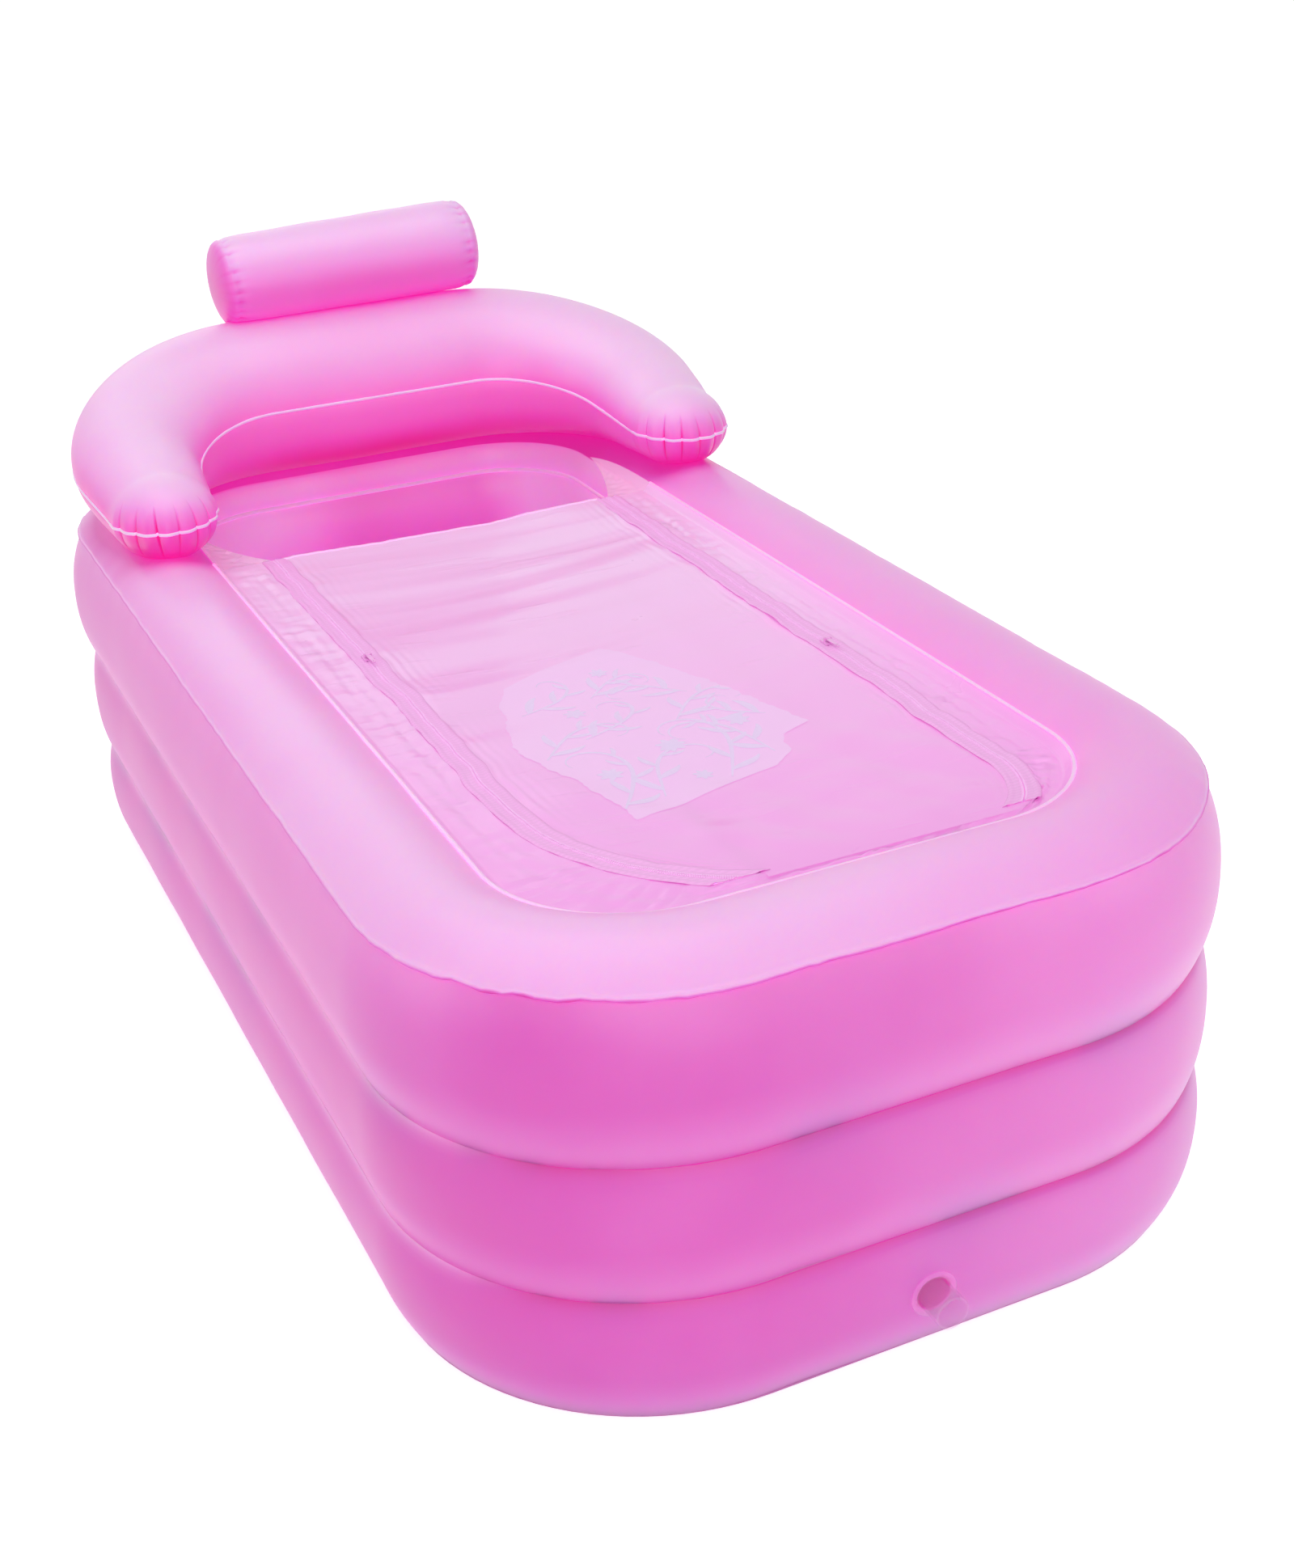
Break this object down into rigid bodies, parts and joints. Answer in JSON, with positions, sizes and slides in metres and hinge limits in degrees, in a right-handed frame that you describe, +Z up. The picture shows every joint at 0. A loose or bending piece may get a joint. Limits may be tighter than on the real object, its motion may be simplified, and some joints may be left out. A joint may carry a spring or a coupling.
{
  "type": "inflatable bathtub",
  "caption": "Free-standing inflatable bathtub with stacked air chambers, a zipped clear film cover, a curved backrest, a cylindrical head pillow and a foot drain.",
  "frame": {"origin": "on the floor, under the middle of the tub, at the centre of the bottom sheet's flat underside", "axes": "+Z up, +Y towards the head end with the backrest, -Y towards the foot end with the drain, +X to the bather's left when lying with the head at +Y"},
  "size_m": [0.8264, 1.6372, 0.7282],
  "materials": {
    "pink_pvc": "welded soft PVC film, satin gloss",
    "pale_pink_pvc": "welded soft PVC film, satin gloss",
    "clear_film": "thin translucent pink PVC film",
    "zip_tape": "woven zip tape with moulded teeth",
    "zip_slider": "enamelled die casting",
    "clear_pvc": "clear soft PVC moulding",
    "plug_pvc": "soft PVC moulding",
    "valve_pvc": "translucent soft PVC moulding"
  },
  "bodies": {
    "tub": {"lower_ring": "pink_pvc", "middle_ring": "pink_pvc", "upper_ring": "pink_pvc", "floor_sheet": "pink_pvc", "floor_pad": "pink_pvc", "backrest": "pale_pink_pvc", "headrest_pillow": "pale_pink_pvc", "cover_border": "clear_film", "zip_tape_left_border": "zip_tape", "zip_tape_right_border": "zip_tape", "drain_pipe": "clear_pvc", "valve_lower": "valve_pvc", "valve_middle": "valve_pvc", "valve_upper": "valve_pvc", "valve_floor": "valve_pvc", "valve_backrest": "valve_pvc", "valve_pillow": "valve_pvc"},
    "cover": {"cover_panel": "clear_film", "zip_tape_left_panel": "zip_tape", "zip_tape_right_panel": "zip_tape"},
    "slider_left": {"zip_slider_left": "zip_slider"},
    "slider_right": {"zip_slider_right": "zip_slider"},
    "pull_left": {"zip_pull_left": "zip_slider"},
    "pull_right": {"zip_pull_right": "zip_slider"},
    "plug": {"drain_plug": "plug_pvc"},
    "cap_lower": {"valve_cap_lower": "valve_pvc"},
    "cap_middle": {"valve_cap_middle": "valve_pvc"},
    "cap_upper": {"valve_cap_upper": "valve_pvc"},
    "cap_floor": {"valve_cap_floor": "valve_pvc"},
    "cap_backrest": {"valve_cap_backrest": "valve_pvc"},
    "cap_pillow": {"valve_cap_pillow": "valve_pvc"}
  },
  "joints": [
    {"name": "cover_lift", "type": "hinge", "parent": "tub", "child": "cover", "pos_m": [0, -0.632, 0.4136], "axis": [1, 0, 0], "range_deg": [0, 105]},
    {"name": "slider_left_run", "type": "slide", "parent": "cover", "child": "slider_left", "axis": [0, 1, 0], "range_m": [-0.39, 0.345]},
    {"name": "slider_right_run", "type": "slide", "parent": "cover", "child": "slider_right", "axis": [0, 1, 0], "range_m": [-0.31, 0.556]},
    {"name": "pull_left_flip", "type": "hinge", "parent": "slider_left", "child": "pull_left", "pos_m": [-0.21, -0.014, 0.4184], "axis": [-1, 0, 0], "range_deg": [0, 170]},
    {"name": "pull_right_flip", "type": "hinge", "parent": "slider_right", "child": "pull_right", "pos_m": [0.22, -0.225, 0.4184], "axis": [-1, 0, 0], "range_deg": [0, 170]},
    {"name": "plug_pull", "type": "slide", "parent": "tub", "child": "plug", "axis": [0, 1, 0], "range_m": [0, 0.03]},
    {"name": "cap_lower_flip", "type": "hinge", "parent": "tub", "child": "cap_lower", "pos_m": [0.1, 0.8055, 0.0745], "axis": [1, 0, 0], "range_deg": [0, 150]},
    {"name": "cap_middle_flip", "type": "hinge", "parent": "tub", "child": "cap_middle", "pos_m": [0.1, 0.8071, 0.2036], "axis": [1, 0, 0], "range_deg": [0, 150]},
    {"name": "cap_upper_flip", "type": "hinge", "parent": "tub", "child": "cap_upper", "pos_m": [0.1, 0.8103, 0.34605], "axis": [1, 0, 0], "range_deg": [0, 150]},
    {"name": "cap_floor_flip", "type": "hinge", "parent": "tub", "child": "cap_floor", "pos_m": [0, 0.3904, 0.04977], "axis": [-1, 0, 0], "range_deg": [0, 150]},
    {"name": "cap_backrest_flip", "type": "hinge", "parent": "tub", "child": "cap_backrest", "pos_m": [-0.1255, 0.77225, 0.51087], "axis": [1, 0, 0], "range_deg": [0, 150]},
    {"name": "cap_pillow_flip", "type": "hinge", "parent": "tub", "child": "cap_pillow", "pos_m": [0.10295, 0.7811, 0.67838], "axis": [1, 0, 0], "range_deg": [0, 150]}
  ]
}
